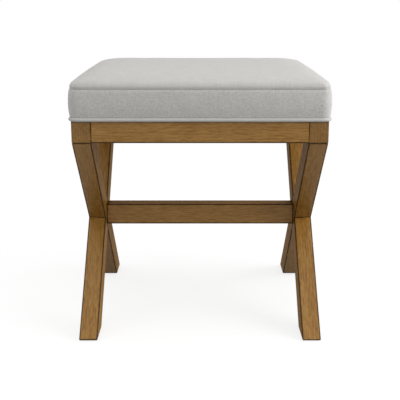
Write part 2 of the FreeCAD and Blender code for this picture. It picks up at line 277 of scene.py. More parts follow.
# X is across the growth rings, Y along the grain and Z along the rings, all in metres.
spot, start = given["Place"], given["Seed"]
streak = cloudiness(grain, spot, (300.0, 46.0, 190.0), start, detail=3.0, roughness=0.6)
fine = cloudiness(grain, spot, (760.0, 90.0, 620.0), start, roughness=0.6)
figure = cloudiness(grain, spot, (34.0, 4.0, 26.0), start)
wander = cloudiness(grain, spot, (9.0, 3.0, 9.0), start, detail=1.0)
pores = remap(grain, cloudiness(grain, spot, (1500.0, 75.0, 1500.0), start), 0.64, 0.76)
across = node(grain, "SeparateXYZ", None, {0: spot}, "X")
ring_place = calculate(grain, "MULTIPLY_ADD", wander, ring_wander, across)
bend = calculate(grain, "MULTIPLY", figure, ring_bend)
ring_turn = calculate(grain, "MULTIPLY_ADD", ring_place, 2 * math.pi * rings_to_the_metre, bend)
tone = calculate(grain, "MULTIPLY_ADD", calculate(grain, "SINE", ring_turn), ring_strength, 0.5)
for clouds, strength in ((streak, streak_strength), (fine, fine_strength), (figure, figure_strength)):
    tone = vary(grain, tone, clouds, strength)
stained = blend_colours(grain, node(grain, "Clamp", None, {"Value": tone}), given["Deep"], given["Pale"])
stained = blend_colours(grain, calculate(grain, "MULTIPLY", pores, pore_strength), stained, pore_colour)
grain.links.new(stained, give["Color"])
grain.links.new(calculate(grain, "SUBTRACT", calculate(grain, "MULTIPLY", fine, 0.3), pores), give["Height"])
grain.links.new(remap(grain, streak, 0.3, 0.7, 0.40, 0.50), give["Roughness"])
print("group:", grain.name)

# %% Edge glaze group
line_waver = 0.0022
glaze, given, give = new_group(
    "edge_glaze",
    {"Insets": "Vector", "End": "Float", "Joint": "Float", "Dark to": "Float", "Gone by": "Float", "Place": "Vector"},
    {"Mask": "Float"},
)
# On a flat face the smallest inset is nought, so the middle one of the three is the way to the nearest edge.
insets = node(glaze, "SeparateXYZ", None, {0: given["Insets"]}, "X").node.outputs
lengthwise = calculate(glaze, "MINIMUM", insets["Y"], given["End"])
smaller = calculate(glaze, "MINIMUM", insets["X"], insets["Z"])
larger = calculate(glaze, "MAXIMUM", insets["X"], insets["Z"])
edge_way = calculate(glaze, "MAXIMUM", smaller, calculate(glaze, "MINIMUM", larger, lengthwise))
edge_way = calculate(glaze, "MINIMUM", edge_way, given["Joint"])
edge_way = vary(glaze, edge_way, cloudiness(glaze, given["Place"], (60.0, 60.0, 60.0), seed=3.0), line_waver)
glaze.links.new(remap(glaze, edge_way, given["Dark to"], given["Gone by"], 1.0, 0.0), give["Mask"])
print("group:", glaze.name)

# %% [markdown]
# ## Boards
# Each board is its own piece of wood, so each has its own material: the same recipe, turned to lie along the
# board and started from another seed. A Mapping node of the texture kind undoes the board's place and turn, so
# that inside the recipe Y always runs along the grain. A leg is cut level at both ends, so its end lines are
# measured upright, and where two legs are lapped, the line also follows the other leg's edges.
# The rails also carry a painted shade on their faces just under the cushion's welt.

# %% Board material
stain_pale = (0.412, 0.218, 0.053, 1.0)
stain_deep = (0.240, 0.103, 0.010, 1.0)
# The glaze's colour is also the colour of the painted shade under the welt.
glaze_and_painted_shade_colour = (0.040, 0.017, 0.005, 1.0)
glaze_depth = 0.88
end_grain_shade = (0.77, 0.77, 0.77, 1.0)
end_skin = 0.0004
# Painted shade under the cushion's welt: the rails' faces are darkened from their top down over this height, by up to
# this share.
painted_shade_reach = 0.0065
painted_shade_depth = 0.55
lacquer_dulling = 0.6
edge_line = (0.0015, 0.0029)
far = 1.0  # In metres, so that no line shows.


def way_to_lap(tree, spot, place, centre, lap):
    """How far a point lies from the nearer edge of the leg that is let in, on the side where it is let in.

    The lap is the direction across the other leg, half its width, and the sign of the lapped side.
    """
    other_across, half_width, lapped_side = lap
    moved = node(tree, "VectorMath", {"operation": "SUBTRACT"}, {0: spot, 1: centre})
    reach = node(tree, "VectorMath", {"operation": "DOT_PRODUCT"}, {0: moved, 1: other_across}, "Value")
    reach = calculate(tree, "SUBTRACT", calculate(tree, "ABSOLUTE", reach), half_width)
    sideways = node(tree, "SeparateXYZ", None, {0: place}, "X")
    wrong_side = calculate(tree, "LESS_THAN", calculate(tree, "MULTIPLY", sideways, lapped_side), 0.0)
    return calculate(tree, "ADD", calculate(tree, "ABSOLUTE", reach), wrong_side)


def board_material(name, centre, along, across, half_sizes, seed, line=edge_line, level_ends=None, lap=None,
                   shaded_below=None):
    """Stained wood for one board: its middle, its directions along and across, and half its sizes.

    The line is the pair of insets up to which the edge glaze is dark and by which it is gone.
    """
    material, tree, surface, spot = new_material(
        "wood_" + name, Specular_IOR_Level=0.0, Roughness=0.5, Coat_Weight=0.5, Coat_Roughness=0.35
    )
    along, across = Vector(along).normalized(), Vector(across).normalized()
    turn = Matrix((across, along, across.cross(along))).transposed().to_euler()
    upright = node(tree, "SeparateXYZ", None, {0: spot}, "Z")
    place = node(tree, "Mapping", {"vector_type": "TEXTURE"}, {0: spot, 1: centre, 2: turn})
    wood = place_group(tree, grain, {"Place": place, "Seed": seed, "Pale": stain_pale, "Deep": stain_deep})
    size = node(tree, "VectorMath", {"operation": "ABSOLUTE"}, {0: place})
    insets = node(tree, "VectorMath", {"operation": "SUBTRACT"}, {0: half_sizes, 1: size})
    feeds = {"Insets": insets, "Place": spot, "Dark to": line[0], "Gone by": line[1], "End": far, "Joint": far}
    if level_ends:
        from_low = calculate(tree, "SUBTRACT", upright, level_ends[0])
        from_high = calculate(tree, "SUBTRACT", level_ends[1], upright)
        feeds["End"] = calculate(tree, "MINIMUM", from_low, from_high)
    if lap:
        feeds["Joint"] = way_to_lap(tree, spot, place, centre, lap)
    glazed = place_group(tree, glaze, feeds)["Mask"]
    from_end = node(tree, "SeparateXYZ", None, {0: insets}, "Y")
    on_end = calculate(tree, "LESS_THAN", from_end, end_skin)
    stained = blend_colours(tree, on_end, wood["Color"], end_grain_shade, "MULTIPLY")
    # Painted shade: the rail's face darkens towards its top edge, where the cushion's welt overhangs it.
    if shaded_below:
        painted_shade_share = remap(tree, upright, shaded_below - painted_shade_reach, shaded_below, 0.0, painted_shade_depth)
        stained = blend_colours(tree, painted_shade_share, stained, glaze_and_painted_shade_colour)
    depth = calculate(tree, "MULTIPLY", glazed, glaze_depth)
    tree.links.new(blend_colours(tree, depth, stained, glaze_and_painted_shade_colour), surface["Base Color"])
    facing = node(tree, "LayerWeight", None, {"Blend": 0.5}, "Facing")
    lacquer = remap(tree, facing, 0.30, 0.76, 0.72, 0.14)
    dulled = calculate(tree, "MULTIPLY_ADD", glazed, -lacquer_dulling, 1.0)
    tree.links.new(calculate(tree, "MULTIPLY", lacquer, dulled), surface["Coat Weight"])
    tree.links.new(wood["Roughness"], surface["Roughness"])
    add_bump(tree, surface, wood["Height"], 0.35, 0.0004)
    return material


# %% Legs
foot_length = 0.068
seed_step = 3.7
leg_low, leg_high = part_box("left_leg_front_foot")
leg_rise = leg_high[2] - leg_low[2]
leg_run = (leg_high[1] - leg_low[1]) - foot_length
slant = math.atan2(leg_rise, leg_run)
leg_half_width = foot_length * math.sin(slant) / 2
stock_half = (leg_high[0] - leg_low[0]) / 2
side_middle = abs(leg_low[0] + leg_high[0]) / 2
crossing_level = (leg_low[2] + leg_high[2]) / 2
print(f"leg slant {math.degrees(slant):.1f} degrees, width {2000 * leg_half_width:.1f} mm")

seed = 0.0
for side_name, side in (("left", -1), ("right", 1)):
    for foot_name, lean in (("front_foot", 1), ("rear_foot", -1)):
        name = f"{side_name}_leg_{foot_name}"
        seed += seed_step
        material = board_material(
            name,
            centre=(side * side_middle, 0.0, crossing_level),
            along=(0.0, math.cos(slant), lean * math.sin(slant)),
            across=(1.0, 0.0, 0.0),
            half_sizes=(stock_half, far, leg_half_width),
            seed=seed,
            level_ends=(leg_low[2], leg_high[2]),
            lap=((0.0, lean * math.sin(slant), math.cos(slant)), leg_half_width, -side * lean),
        )
        dress(material, name)

# %% Rails and stretcher
# Two boards that meet each carry a part of their joint's line. So the box that the lines are measured from reaches
# past a board where its line is to be thinner, and the stretcher's is raised, as its lower line is the wider one.
side_line, side_past_top = (0.0004, 0.0018), 0.0010
cross_line, cross_past_top, cross_past_end = (0.0018, 0.0032), 0.0014, 0.0020
stretcher_raise = 0.0005
rightwards, backwards, upwards = np.eye(3)
rail_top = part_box("front_rail")[1][2]


def level_board(name, along, across, low_shift, high_shift, seed, **finish):
    """Dresses a board that lies square, with the lines measured from its box with both corners shifted."""
    low, high = np.array(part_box(name)[0]) + low_shift, np.array(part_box(name)[1]) + high_shift
    half = (high - low) / 2
    half_sizes = [abs(half @ axis) for axis in (across, along, np.cross(across, along))]
    dress(board_material(name, (low + high) / 2, along, across, half_sizes, seed, **finish), name)


for name in ("left_side_rail", "right_side_rail"):
    seed += seed_step
    past_top = side_past_top * upwards
    level_board(name, backwards, rightwards, 0, past_top, seed, line=side_line, shaded_below=rail_top)
for name in ("front_rail", "rear_rail"):
    seed += seed_step
    past_end, past_top = cross_past_end * rightwards, cross_past_top * upwards
    finish = {"line": cross_line, "shaded_below": rail_top}
    level_board(name, rightwards, upwards, -past_end, past_end + past_top, seed, **finish)
raised = stretcher_raise * upwards
level_board("stretcher", rightwards, upwards, raised, raised, seed + seed_step)

# %% [markdown]
# ## Blocks, dowels, board, glides and metal
# These sit inside or under the frame. The corner blocks and dowels are bare pale wood, so they reuse the grain
# group with paler colours. The seat board is plywood, whose layers show on its edge. The glides are moulded
# plastic with a faint pebbled skin. The stretcher bolts are bronzed, and the other hardware is zinc plated,
# with fine scratches in its roughness.

# %% Bare wood
corners = [f"{end}_{side}" for end in ("front", "rear") for side in ("left", "right")]
layer_thickness = 0.0030
dark_layer_strength = 0.45
dark_layer_colour = (0.30, 0.18, 0.09, 1.0)


def bare_wood(name, seed, pale, deep, roughness=0.6, specular=0.25):
    """Unfinished wood in the stool's own axes, with what new_material returns and the grain's outputs."""
    material, tree, surface, spot = new_material(name, Specular_IOR_Level=specular, Roughness=roughness)
    wood = place_group(tree, grain, {"Place": spot, "Seed": seed, "Pale": pale, "Deep": deep})
    tree.links.new(wood["Color"], surface["Base Color"])
    return material, tree, surface, spot, wood


block_material, tree, surface, _, wood = bare_wood(
    "bare_block_wood", 51.0, (0.62, 0.46, 0.28, 1), (0.48, 0.33, 0.18, 1)
)
add_bump(tree, surface, wood["Height"], 0.3, 0.0004)
dress(block_material, *["corner_block_" + corner for corner in corners])
dowel_material = bare_wood("beech_dowel", 62.0, (0.66, 0.48, 0.30, 1), (0.54, 0.37, 0.21, 1))[0]
dress(dowel_material, "leg_top_dowels", "rail_dowels", "stretcher_dowels")

ply_material, tree, surface, spot, wood = bare_wood(
    "birch_plywood", 71.0, (0.66, 0.50, 0.31, 1), (0.56, 0.40, 0.23, 1), roughness=0.65, specular=0.2
)
upright = node(tree, "SeparateXYZ", None, {0: spot}, "Z")
layer_turn = calculate(tree, "MULTIPLY_ADD", upright, 2 * math.pi / layer_thickness, 0.4)
layers = remap(tree, calculate(tree, "SINE", layer_turn), -0.2, 0.4)
layer_share = calculate(tree, "MULTIPLY", layers, dark_layer_strength)
tree.links.new(blend_colours(tree, layer_share, wood["Color"], dark_layer_colour), surface["Base Color"])
dress(ply_material, "seat_board")

# %% Plastic and metal
glide_material, tree, surface, spot = new_material("glide_plastic", Specular_IOR_Level=0.4, Roughness=0.5)
pebbles = cloudiness(tree, spot, (1400.0, 1400.0, 1400.0), seed=5.0)
tree.links.new(blend_colours(tree, pebbles, (0.035, 0.026, 0.02, 1), (0.06, 0.045, 0.034, 1)), surface["Base Color"])
tree.links.new(remap(tree, pebbles, 0.3, 0.7, 0.45, 0.6), surface["Roughness"])
add_bump(tree, surface, pebbles, 0.3, 0.0002)
dress(glide_material, *["foot_glide_" + corner for corner in corners])


def metal(name, dull, bright, smoothest, roughest):
    """Turned or rolled metal: cloudy colour between two tones, and fine scratches in the roughness."""
    material, tree, surface, spot = new_material(name, Metallic=1.0, Roughness=roughest)
    clouds = cloudiness(tree, spot, (240.0, 240.0, 240.0), seed=2.0, detail=3.0, roughness=0.6)
    scratches = cloudiness(tree, spot, (700.0, 4200.0, 2600.0), seed=9.0)
    tree.links.new(blend_colours(tree, clouds, dull, bright), surface["Base Color"])
    tree.links.new(remap(tree, scratches, 0.35, 0.65, smoothest, roughest), surface["Roughness"])
    return material


bronzed_steel = metal("bronzed_steel", (0.10, 0.062, 0.035, 1), (0.18, 0.115, 0.065, 1), 0.30, 0.42)
zinc_plated_steel = metal("zinc_plated_steel", (0.50, 0.51, 0.50, 1), (0.68, 0.69, 0.68, 1), 0.24, 0.38)
dress(bronzed_steel, "stretcher_bolts")
dress(
    zinc_plated_steel,
    "stretcher_barrel_nuts", "corner_block_screws", "seat_bolts", "seat_bolt_washers", "seat_tee_nuts",
    "cover_staples", "dust_cover_staples", "glide_pins",
)

# %% [markdown]
# ## The cushion's form
# The cushion is a foam block in wadding, under a sewn cover: a top panel with a rolled edge, a band around the
# sides, and a piped welt where the band meets the rails. All of it follows rounded squares, one above the
# other. A box with bevelled edges could be inflated instead, but rounded squares keep the seam, the roll and
# the welt where they were measured, and each layer under the cloth is the same form, a little smaller.
#
# One column of points runs up the side and over the roll for each place around the edge. A rounded square is a
# square of centre points plus a circle of directions, so a whole level is one line of arithmetic.

# %% Rounded squares
side_cells = 56
corner_cells = 12
cells = side_cells + corner_cells
columns = 4 * cells


def square_directions():
    """Centre points and outward directions for one rounded square of unit size.

    Each quarter starts in the middle of one corner, so the last level can be filled with a grid.
    """
    quarter_turn = math.radians(45)
    first = np.linspace(-quarter_turn, 0, corner_cells // 2 + 1)[:-1]
    last = np.linspace(0, quarter_turn, corner_cells // 2 + 1)[:-1]
    straight = np.linspace(-1, 1, side_cells + 1)
    shift = np.concatenate([np.full(len(first), -1.0), straight[:-1], np.full(len(last), 1.0)])
    angle = np.concatenate([first, np.zeros(side_cells), last])
    centre = np.stack([np.ones(cells), shift], axis=1)
    outward = np.stack([np.cos(angle), np.sin(angle)], axis=1)
    turns = [np.array(Matrix.Rotation(math.radians(90 * quarter), 2)).T for quarter in range(4)]
    return np.concatenate([centre @ turn for turn in turns]), np.concatenate([outward @ turn for turn in turns])


square_centres, square_outwards = square_directions()
middle_share = 1 - np.min(np.abs(square_centres), axis=1) ** 2


def levels(half_width, corner, height, bow=0.0):
    """Points of many rounded squares: centre times (half width less corner), plus outward times corner.

    The bow is added outwards, times one less the square of the place along the side from its middle.
    """
    middle = (half_width - corner)[:, None, None] * square_centres
    swell = np.broadcast_to(bow, corner.shape)[:, None] * middle_share
    edge = (corner[:, None] + swell)[:, :, None] * square_outwards
    upright = np.broadcast_to(height[:, None, None], middle.shape[:2] + (1,))
    return np.concatenate([middle + edge, upright], axis=2)


def ring_quads(index):
    """Four-cornered faces between rows of point numbers, each row closed all the way round."""
    onward = np.roll(index, -1, axis=1)
    return np.stack([index[:-1], onward[:-1], onward[1:], index[1:]], axis=2).reshape(-1, 4)


def level_faces(rows, first=0):
    """Faces between levels, facing outwards."""
    return ring_quads(first + np.arange(rows * columns).reshape(rows, columns))


def grid_quads(index):
    """Four-cornered faces over a grid of point numbers."""
    return np.stack([index[:-1, :-1], index[1:, :-1], index[1:, 1:], index[:-1, 1:]], axis=2).reshape(-1, 4)


def grid_fill(edge, first_edge, first_inside):
    """Fills one level with a square grid: each point is a blend of the four sides, less the corners' share."""
    quarter = np.arange(cells + 1)
    right, back = edge[quarter], edge[cells + quarter]
    left, front = edge[3 * cells - quarter], edge[(4 * cells - quarter) % columns]
    u = (quarter / cells)[:, None, None]
    v = (quarter / cells)[None, :, None]
    sides = (1 - v) * right[:, None] + v * left[:, None] + (1 - u) * front[None] + u * back[None]
    corners = (1 - u) * (1 - v) * right[0] + u * (1 - v) * right[-1] + (1 - u) * v * left[0] + u * v * left[-1]
    grid = sides - corners
    index = np.zeros((cells + 1, cells + 1), dtype=int)
    index[1:-1, 1:-1] = first_inside + np.arange((cells - 1) ** 2).reshape(cells - 1, cells - 1)
    index[:, 0] = first_edge + quarter
    index[-1, :] = first_edge + cells + quarter
    index[:, -1] = first_edge + 3 * cells - quarter
    index[0, :] = first_edge + (4 * cells - quarter) % columns
    return grid[1:-1, 1:-1].reshape(-1, 3), grid_quads(index)


def piece_from(name, points, faces, flat_places=None):
    """A mesh object with smooth faces, and with a flat cloth place in metres for each point as its UV map."""
    mesh = bpy.data.meshes.new(name)
    mesh.from_pydata(points.tolist(), [], faces.tolist())
    mesh.polygons.foreach_set("use_smooth", np.ones(len(faces), dtype=bool))
    if flat_places is not None:
        layer = mesh.uv_layers.new(name="cloth")
        layer.data.foreach_set("uv", flat_places.astype(np.float32).ravel())
    mesh.update()
    piece = show(name, mesh)
    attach(piece, "root")
    print(f"{name}: {len(points)} points, {len(faces)} faces")
    return piece


def unwrap(places, axis, full):
    """Makes flat places on one axis run on past a ring's last point instead of jumping back to its first."""
    jumped = places[:, :, axis] < places[:, :, axis].max(axis=1, keepdims=True) - full / 2
    places[:, :, axis] += full * jumped


def ring_places(faces, around, upward):
    """Flat cloth places for the corners of faces on closed levels."""
    places = np.stack([around[faces], upward[faces]], axis=2)
    unwrap(places, 0, around.max() + (around[1] - around[0]))
    return places


def length_along(*axes):
    """Length from the first of a row of points to each of them, from their places on each axis."""
    return np.concatenate([[0], np.cumsum(np.linalg.norm(np.diff(axes), axis=0))])


# %% [markdown]
# ## Section of the cushion
# Going up, the band starts on the welt, swells a little and comes back to the seam. Above the seam the top
# panel rolls over and runs out flat. The roll is a quarter of a squared-off ellipse, steep at the seam and
# level on top, and it also opens the corners, because cloth can't turn tightly there. Towards the seam the
# four sides bow outwards a little in their middles. The sizes are those of the construction model.

# %% Section
panel_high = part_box("cover_top_panel")[1]
seam_lip = 0.0009
seam_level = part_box("cover_boxing_band")[1][2] - seam_lip
top_level = panel_high[2]
side_bow = 0.0021
seam_half = panel_high[0] - side_bow
seam_corner = 0.016
band_lift = 0.0074
band_foot = rail_top + band_lift
band_lead = 0.0007
band_belly = 0.0028
belly_power = 2.4
crown_reach = 0.053
corner_growth = 0.040
crown_side_power = 1.6
crown_rise_power = 3.07
corner_centre = seam_half - seam_corner


def band_section(share, inset=0.0):
    """Half width, corner, height and bow up the band, where share 0 is the foot and 1 is the seam.

    The half width is the seam's, with a lead that fades upwards and a belly in the middle.
    """
    belly = band_belly * (1 - np.abs(2 * share - 1) ** belly_power)
    reach = seam_half + band_lead * (1 - share) + belly - inset
    return reach, reach - corner_centre, band_foot + (seam_level - band_foot) * share, side_bow * share


def roll_section(turn, inset=0.0, top_inset=0.0):
    """Half width, corner, height and bow over the roll, where turn 0 is the seam and a right angle the flat top."""
    level_out = np.maximum(np.cos(turn), 0)
    inward = 1 - level_out ** (2 / crown_side_power)
    upward = np.maximum(np.sin(turn), 0) ** (2 / crown_rise_power)
    corner = seam_corner + corner_growth * inward - inset
    half_width = seam_half - crown_reach * inward - inset
    return half_width, corner, seam_level + (top_level - seam_level - top_inset) * upward, side_bow * level_out


def turns_of_even_length(count, inset=0.0):
    """Turns over the roll that lie equally far apart along its section, and the section's length."""
    dense = np.linspace(0, math.pi / 2, 2001)
    half_width, _, height, _ = roll_section(dense, inset)
    length = length_along(half_width, height)
    return np.interp(np.linspace(0, length[-1], count), length, dense), length[-1]


roll_rows = 18
roll_turns, roll_length = turns_of_even_length(roll_rows)
band_rows = 10
band_shares = np.linspace(0, 1, band_rows)
print(f"seam {seam_level:.4f} m up, roll {1000 * roll_length:.1f} mm long over its section")

# %% [markdown]
# ## Filling the cover
# A sewn cover pulls tight over its filling: it swells between the seams and stays put at them. The swelling
# could be drawn as a bump, but a short cloth simulation also finds the small uneven pulls of a real cover. The
# cover starts 2 mm too small, is held at its seam and its foot, and air pressure fills it for twenty frames. No
# point may move more than a few millimetres, because foam would stop it there. Only the uneven part of the
# movement is kept, scaled down and added to the measured form, so the outline stays true.

# %% Cloth simulation
start_inset = 0.0022
furthest_move = 0.0042
kept_share = 0.3
even_weights = np.array([1, 2, 3, 4, 3, 2, 1]) / 16
last_frame = 20
cover_rows = band_rows + roll_rows - 1
cloth_settings = {
    "vertex_group_mass": "held", "quality": 6, "mass": 0.3, "tension_stiffness": 30, "compression_stiffness": 30,
    "shear_stiffness": 12, "bending_stiffness": 1.5, "use_pressure": True, "uniform_pressure_force": 4.0,
}


def trial_cover():
    """A coarse cover that starts too small, and its points: band rows, roll rows, then the top grid."""
    band = levels(*band_section(band_shares, start_inset * 4 * band_shares * (1 - band_shares)))
    roll = levels(*roll_section(roll_turns[1:], start_inset * np.sin(roll_turns)[1:], start_inset))
    inside, top_faces = grid_fill(roll[-1], (cover_rows - 1) * columns, cover_rows * columns)
    points = np.concatenate([band.reshape(-1, 3), roll.reshape(-1, 3), inside])
    faces = np.concatenate([level_faces(cover_rows), top_faces])
    mesh = bpy.data.meshes.new("cover_trial")
    mesh.from_pydata(points.tolist(), [], faces.tolist())
    trial = show("cover_trial", mesh)
    held = trial.vertex_groups.new(name="held")
    for row in (0, band_rows - 1):
        held.add(list(range(row * columns, (row + 1) * columns)), 1.0, "REPLACE")
    return trial, points


def filled_movement():
    """How far each point of the trial cover moves when it is filled."""
    trial, points = trial_cover()
    cloth = trial.modifiers.new("filling", "CLOTH")
    for setting, value in cloth_settings.items():
        setattr(cloth.settings, setting, value)
    cloth.settings.effector_weights.gravity = 0.0
    cloth.point_cache.frame_start = 1
    cloth.point_cache.frame_end = last_frame
    for moment in range(1, last_frame + 1):
        scene.frame_set(moment)
    settled = trial.evaluated_get(bpy.context.evaluated_depsgraph_get()).to_mesh()
    place = np.empty(len(points) * 3)
    settled.vertices.foreach_get("co", place)
    move = place.reshape(-1, 3) - points
    bpy.data.objects.remove(trial)
    scene.frame_set(1)
    length = np.linalg.norm(move, axis=1, keepdims=True)
    print(f"filled cover moved {1000 * length.mean():.2f} mm on average, {1000 * length.max():.2f} mm at most")
    return move * (furthest_move * np.tanh(length / furthest_move) / np.maximum(length, 1e-9))


def uneven_part(move):
    """The movement less what all points of a level share, evened out along the sides and then scaled down.

    The shared part would only make the cushion bigger, and loose folds aren't wanted.
    """
    sides = move[: cover_rows * columns].reshape(cover_rows, columns, 3)
    outward_move = (sides[:, :, :2] * square_outwards).sum(axis=2)
    shared_out = outward_move.mean(axis=1, keepdims=True)
    shared_up = sides[:, :, 2].mean(axis=1, keepdims=True)
    sides[:, :, :2] -= shared_out[:, :, None] * square_outwards
    sides[:, :, 2] -= shared_up
    move[cover_rows * columns :, 2] -= shared_up[-1]
    evened = sum(weight * np.roll(sides, shift, axis=1) for shift, weight in zip(range(-3, 4), even_weights))
    move[: cover_rows * columns] = evened.reshape(-1, 3)
    print(f"swelling left out: {1000 * shared_out.max():.2f} mm outwards, {1000 * shared_up.max():.2f} mm upwards")
    return kept_share * move


movement = uneven_part(filled_movement())
side_move = movement[: cover_rows * columns].reshape(cover_rows, columns, 3)
band_move, roll_move = side_move[:band_rows], side_move[band_rows - 1 :]
top_move = movement[cover_rows * columns :]

# %% [markdown]
# ## Top panel
# The top panel is one flat-cut piece of cloth that rolls down to the seam, where its edge turns inwards. At
# each corner the surplus is eased into one small tuck just above the seam. A grid fills the flat middle, and
# its threads run straight to the edges, so each point keeps the place it had on the flat cloth: its own place,
# pushed outwards by the length that the roll takes up.

# %% Top panel
tuck_reach = 0.0026
tuck_depth = 0.0013
tuck_height = 0.006
least_corner = 0.004
# From the cut edge inwards: how far in from the seam, and how far up from it, each row of the turned-in edge lies.
seam_turn_in = np.array([0.0045, 0.0022, 0.0012, 0.0007, 0.0002])
seam_rise = np.array([-0.0008, -0.0004, 0.0001, 0.0013, 0.0034])
rows_below_roll = 3


def between_rows(move, known, wanted):
    """Movement at new places up the section, in proportion between the rows that were simulated."""
    row = np.clip(np.searchsorted(known, wanted) - 1, 0, len(known) - 2)
    part = ((wanted - known[row]) / (known[row + 1] - known[row]))[:, None, None]
    return (1 - part) * move[row] + part * move[row + 1]


around_corner = np.minimum(np.arange(columns) % cells, cells - np.arange(columns) % cells)
corner_arc = around_corner * (math.radians(90) / corner_cells) * seam_corner
added_turns = np.interp(seam_rise[rows_below_roll:], roll_section(roll_turns)[2] - seam_level, roll_turns)
top_turns = np.concatenate([np.zeros(rows_below_roll), added_turns, roll_turns[1:]])
top_half, top_corner, top_height, top_bow = roll_section(top_turns)
top_inward = np.concatenate([seam_turn_in, np.zeros(roll_rows - 1)])
top_height[:rows_below_roll] += seam_rise[:rows_below_roll]
skirt = levels(top_half - top_inward, np.maximum(top_corner - top_inward, least_corner), top_height, top_bow)
skirt = skirt + between_rows(roll_move, roll_turns, top_turns)
above_seam = (top_height - seam_level)[:, None]
tuck = tuck_depth * np.exp(-((corner_arc[None] / tuck_reach) ** 2) - (above_seam / tuck_height) ** 2)
skirt[:, :, :2] -= tuck[:, :, None] * square_outwards
skirt_rows = len(top_turns)
inside, top_faces = grid_fill(skirt[-1] - roll_move[-1], (skirt_rows - 1) * columns, skirt_rows * columns)
inside = inside + top_move
top_points = np.concatenate([skirt.reshape(-1, 3), inside])
top_quads = np.concatenate([level_faces(skirt_rows), top_faces])
length_up = length_along(top_half, top_height)
surplus = (length_up[-1] - length_up) - (top_half - top_half[-1])
flat_skirt = skirt[:, :, :2] + surplus[:, None, None] * square_outwards
flat = np.concatenate([flat_skirt.reshape(-1, 2), inside[:, :2]])
top_panel = piece_from("top_panel", top_points, top_quads, flat[top_quads])
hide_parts("cover_top_panel")

# %% [markdown]
# ## Boxing band
# The band is a strip of the same cloth, sewn into a ring. Its upper edge is turned in at the seam and stands a
# little proud there, because the seam allowance lies folded behind it. At the foot it tucks in behind the welt,
# turns under the seat board and ends in the flange that the staples hold.

# %% Boxing band
bead_height, bead_below, bead_width = 0.0004, 0.0055, 0.0032
shoulder_height, shoulder_reach = 0.0004, 0.006
shares_near_seam = [0.925, 0.945, 0.962, 0.976, 0.988]
# Half widths, and heights above the rails or the seam, from the stapled flange to the turned-in upper edge.
under_half = np.array([0.1775, 0.1900, 0.2100, 0.2255, 0.2282, 0.2288, 0.2290])
under_rise = np.array([0.0005, 0.0005, 0.0005, 0.0005, 0.0009, 0.0030, 0.0064])
edge_half = np.array([0.2305, 0.2327, 0.2334])
edge_rise = np.array([0.0062, 0.0056, 0.0064])
inner_half = seam_half - np.array([0.0004, 0.0014, 0.0030, 0.0048])
inner_drop = np.array([0.0008, 0.0003, 0.0005, 0.0012])
least_under_corner = 0.010
shares_up = np.unique(np.concatenate([band_shares[1:-1], shares_near_seam]))
face_half, _, face_height, face_bow = band_section(shares_up)
to_seam = seam_level - face_height
bead = bead_height * np.exp(-(((to_seam - bead_below) / bead_width) ** 2))
shoulder = shoulder_height * np.exp(-to_seam / shoulder_reach)
outer_half = np.concatenate([edge_half, face_half + bead + shoulder, inner_half])
under_corner = np.maximum(under_half - corner_centre, least_under_corner)
band_half = np.concatenate([under_half, outer_half])
band_corner = np.concatenate([under_corner, outer_half - corner_centre])
band_height = np.concatenate([rail_top + under_rise, rail_top + edge_rise, face_height, seam_level - inner_drop])
lower = len(under_half) + len(edge_half)
band_bow = np.concatenate([np.zeros(lower), face_bow, np.full(len(inner_half), side_bow)])
band_points = levels(band_half, band_corner, band_height, band_bow)
band_points[lower : lower + len(shares_up)] += between_rows(band_move, band_shares, shares_up)
band_quads = level_faces(len(band_half))
around = np.tile(length_along(*levels(*band_section(np.array([0.5])))[0].T), len(band_half))
upward = np.repeat(length_along(band_half, band_height), columns)
band_flat = ring_places(band_quads, around, upward)
boxing_band = piece_from("boxing_band", band_points.reshape(-1, 3), band_quads, band_flat)
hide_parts("cover_boxing_band")

# %% [markdown]
# ## Piped welt
# The welt is a cord wrapped in a strip of the same cloth, sewn between the band and the seat. It is a circle
# carried round the lowest level of the cushion. The cloth is cut on the slant so that it bends without
# creasing, which its weave will show, and it is drawn in a little between stitches.

# %% Piped welt
welt_sides = 20
welt_sink, welt_push = 0.0016, 0.0006
pull_depth = 0.02
pull_spacing = 0.031
slow_spacing = 0.083
welt_low, welt_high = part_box("welt_piping")
welt_radius = (welt_high[2] - welt_low[2]) / 2
welt_level = (welt_high[2] + welt_low[2]) / 2 - welt_sink
welt_half = welt_high[0] - welt_radius + welt_push
section_turn = np.linspace(0, 2 * math.pi, welt_sides, endpoint=False)
path = levels(*np.array([[welt_half], [welt_half - corner_centre], [welt_level]]))[0]
path_length = length_along(*path.T)
pull_turn = path_length * 2 * math.pi
pull = (1 + np.sin(pull_turn / pull_spacing) * np.cos(pull_turn / slow_spacing)) / 2
fullness = (welt_radius * (1 - pull_depth * pull))[None, :, None]
outward = np.concatenate([square_outwards, np.zeros((columns, 1))], axis=1)
welt_out, welt_up = np.cos(section_turn)[:, None, None], np.sin(section_turn)[:, None, None]
welt_points = path[None] + fullness * (welt_out * outward[None] + welt_up * upwards)
welt_index = np.arange(welt_sides * columns).reshape(welt_sides, columns)
welt_quads = ring_quads(np.concatenate([welt_index, welt_index[:1]]))
around = np.tile(path_length, welt_sides)
welt_flat = ring_places(welt_quads, around, np.repeat(section_turn * welt_radius, columns))
unwrap(welt_flat, 1, 2 * math.pi * welt_radius)
piped_welt = piece_from("piped_welt", welt_points.reshape(-1, 3), welt_quads, welt_flat)
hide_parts("welt_piping", "welt_filler_cord")

# %% [markdown]
# ## Padding
# Under the cover lie a layer of wadding and the foam block. They can't be seen in the finished stool, but they
# are there, with the same crown and the same swell as the cover, a few millimetres further in.

# %% Foam core and wadding
foam_inset, foam_top_inset = 0.0075, 0.0095
outer_inset, outer_top_inset = 0.0022, 0.0025
inner_inset, inner_top_inset = 0.0066, 0.0085
wadding_foot = band_foot + 0.002


